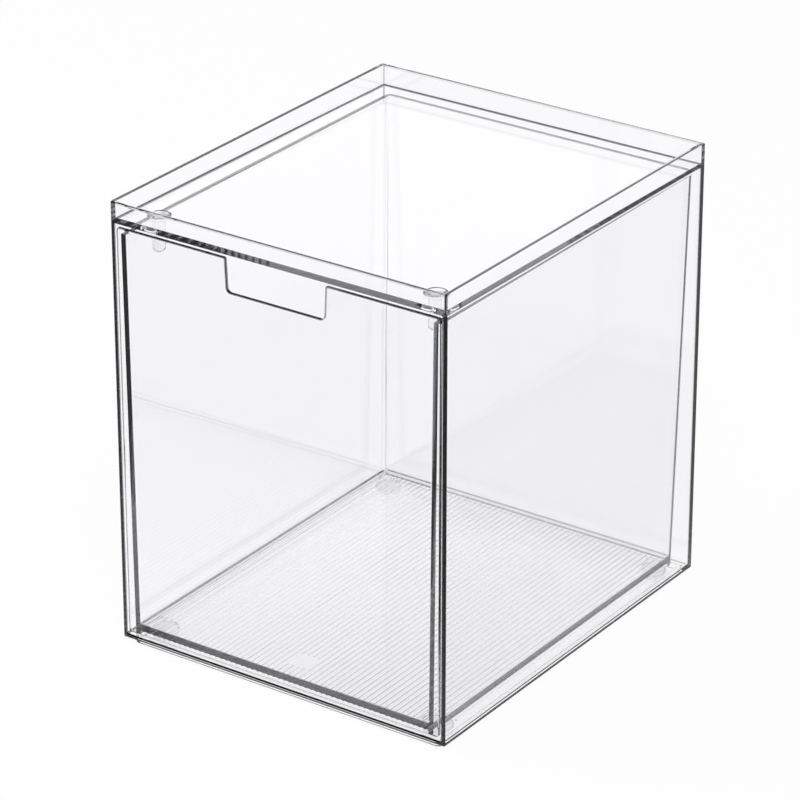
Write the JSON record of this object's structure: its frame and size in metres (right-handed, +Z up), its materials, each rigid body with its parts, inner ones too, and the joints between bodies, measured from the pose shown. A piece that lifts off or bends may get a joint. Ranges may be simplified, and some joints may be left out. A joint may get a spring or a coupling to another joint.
{
  "type": "stackable storage drawer",
  "caption": "Clear stackable storage box with an open-front case, a pull-out drawer with a finger notch in its front, stop pins and foot pads.",
  "frame": {"origin": "middle of the base, level with the undersides of the foot pads", "axes": "+Z up, -Y towards the drawer's front, +X to the right as seen from the front"},
  "size_m": [0.18, 0.21, 0.2213],
  "materials": {
    "clear_case": "water-clear rigid plastic, polished",
    "clear_drawer": "water-clear rigid plastic, polished",
    "soft_pin": "clear soft plastic, slightly milky",
    "soft_pad": "clear soft elastomer"
  },
  "bodies": {
    "case": {"case_shell": "clear_case", "foot_pad_front_left": "soft_pad", "foot_pad_front_right": "soft_pad", "foot_pad_back_left": "soft_pad", "foot_pad_back_right": "soft_pad"},
    "drawer": {"drawer": "clear_drawer"},
    "pin_left": {"stop_pin_left": "soft_pin"},
    "pin_right": {"stop_pin_right": "soft_pin"}
  },
  "joints": [
    {"name": "drawer_slide", "type": "slide", "parent": "case", "child": "drawer", "axis": [0, -1, 0], "range_m": [0, 0.1857]},
    {"name": "pin_left_lift", "type": "slide", "parent": "case", "child": "pin_left", "axis": [0, 0, 1], "range_m": [0, 0.02]},
    {"name": "pin_right_lift", "type": "slide", "parent": "case", "child": "pin_right", "axis": [0, 0, 1], "range_m": [0, 0.02]}
  ]
}
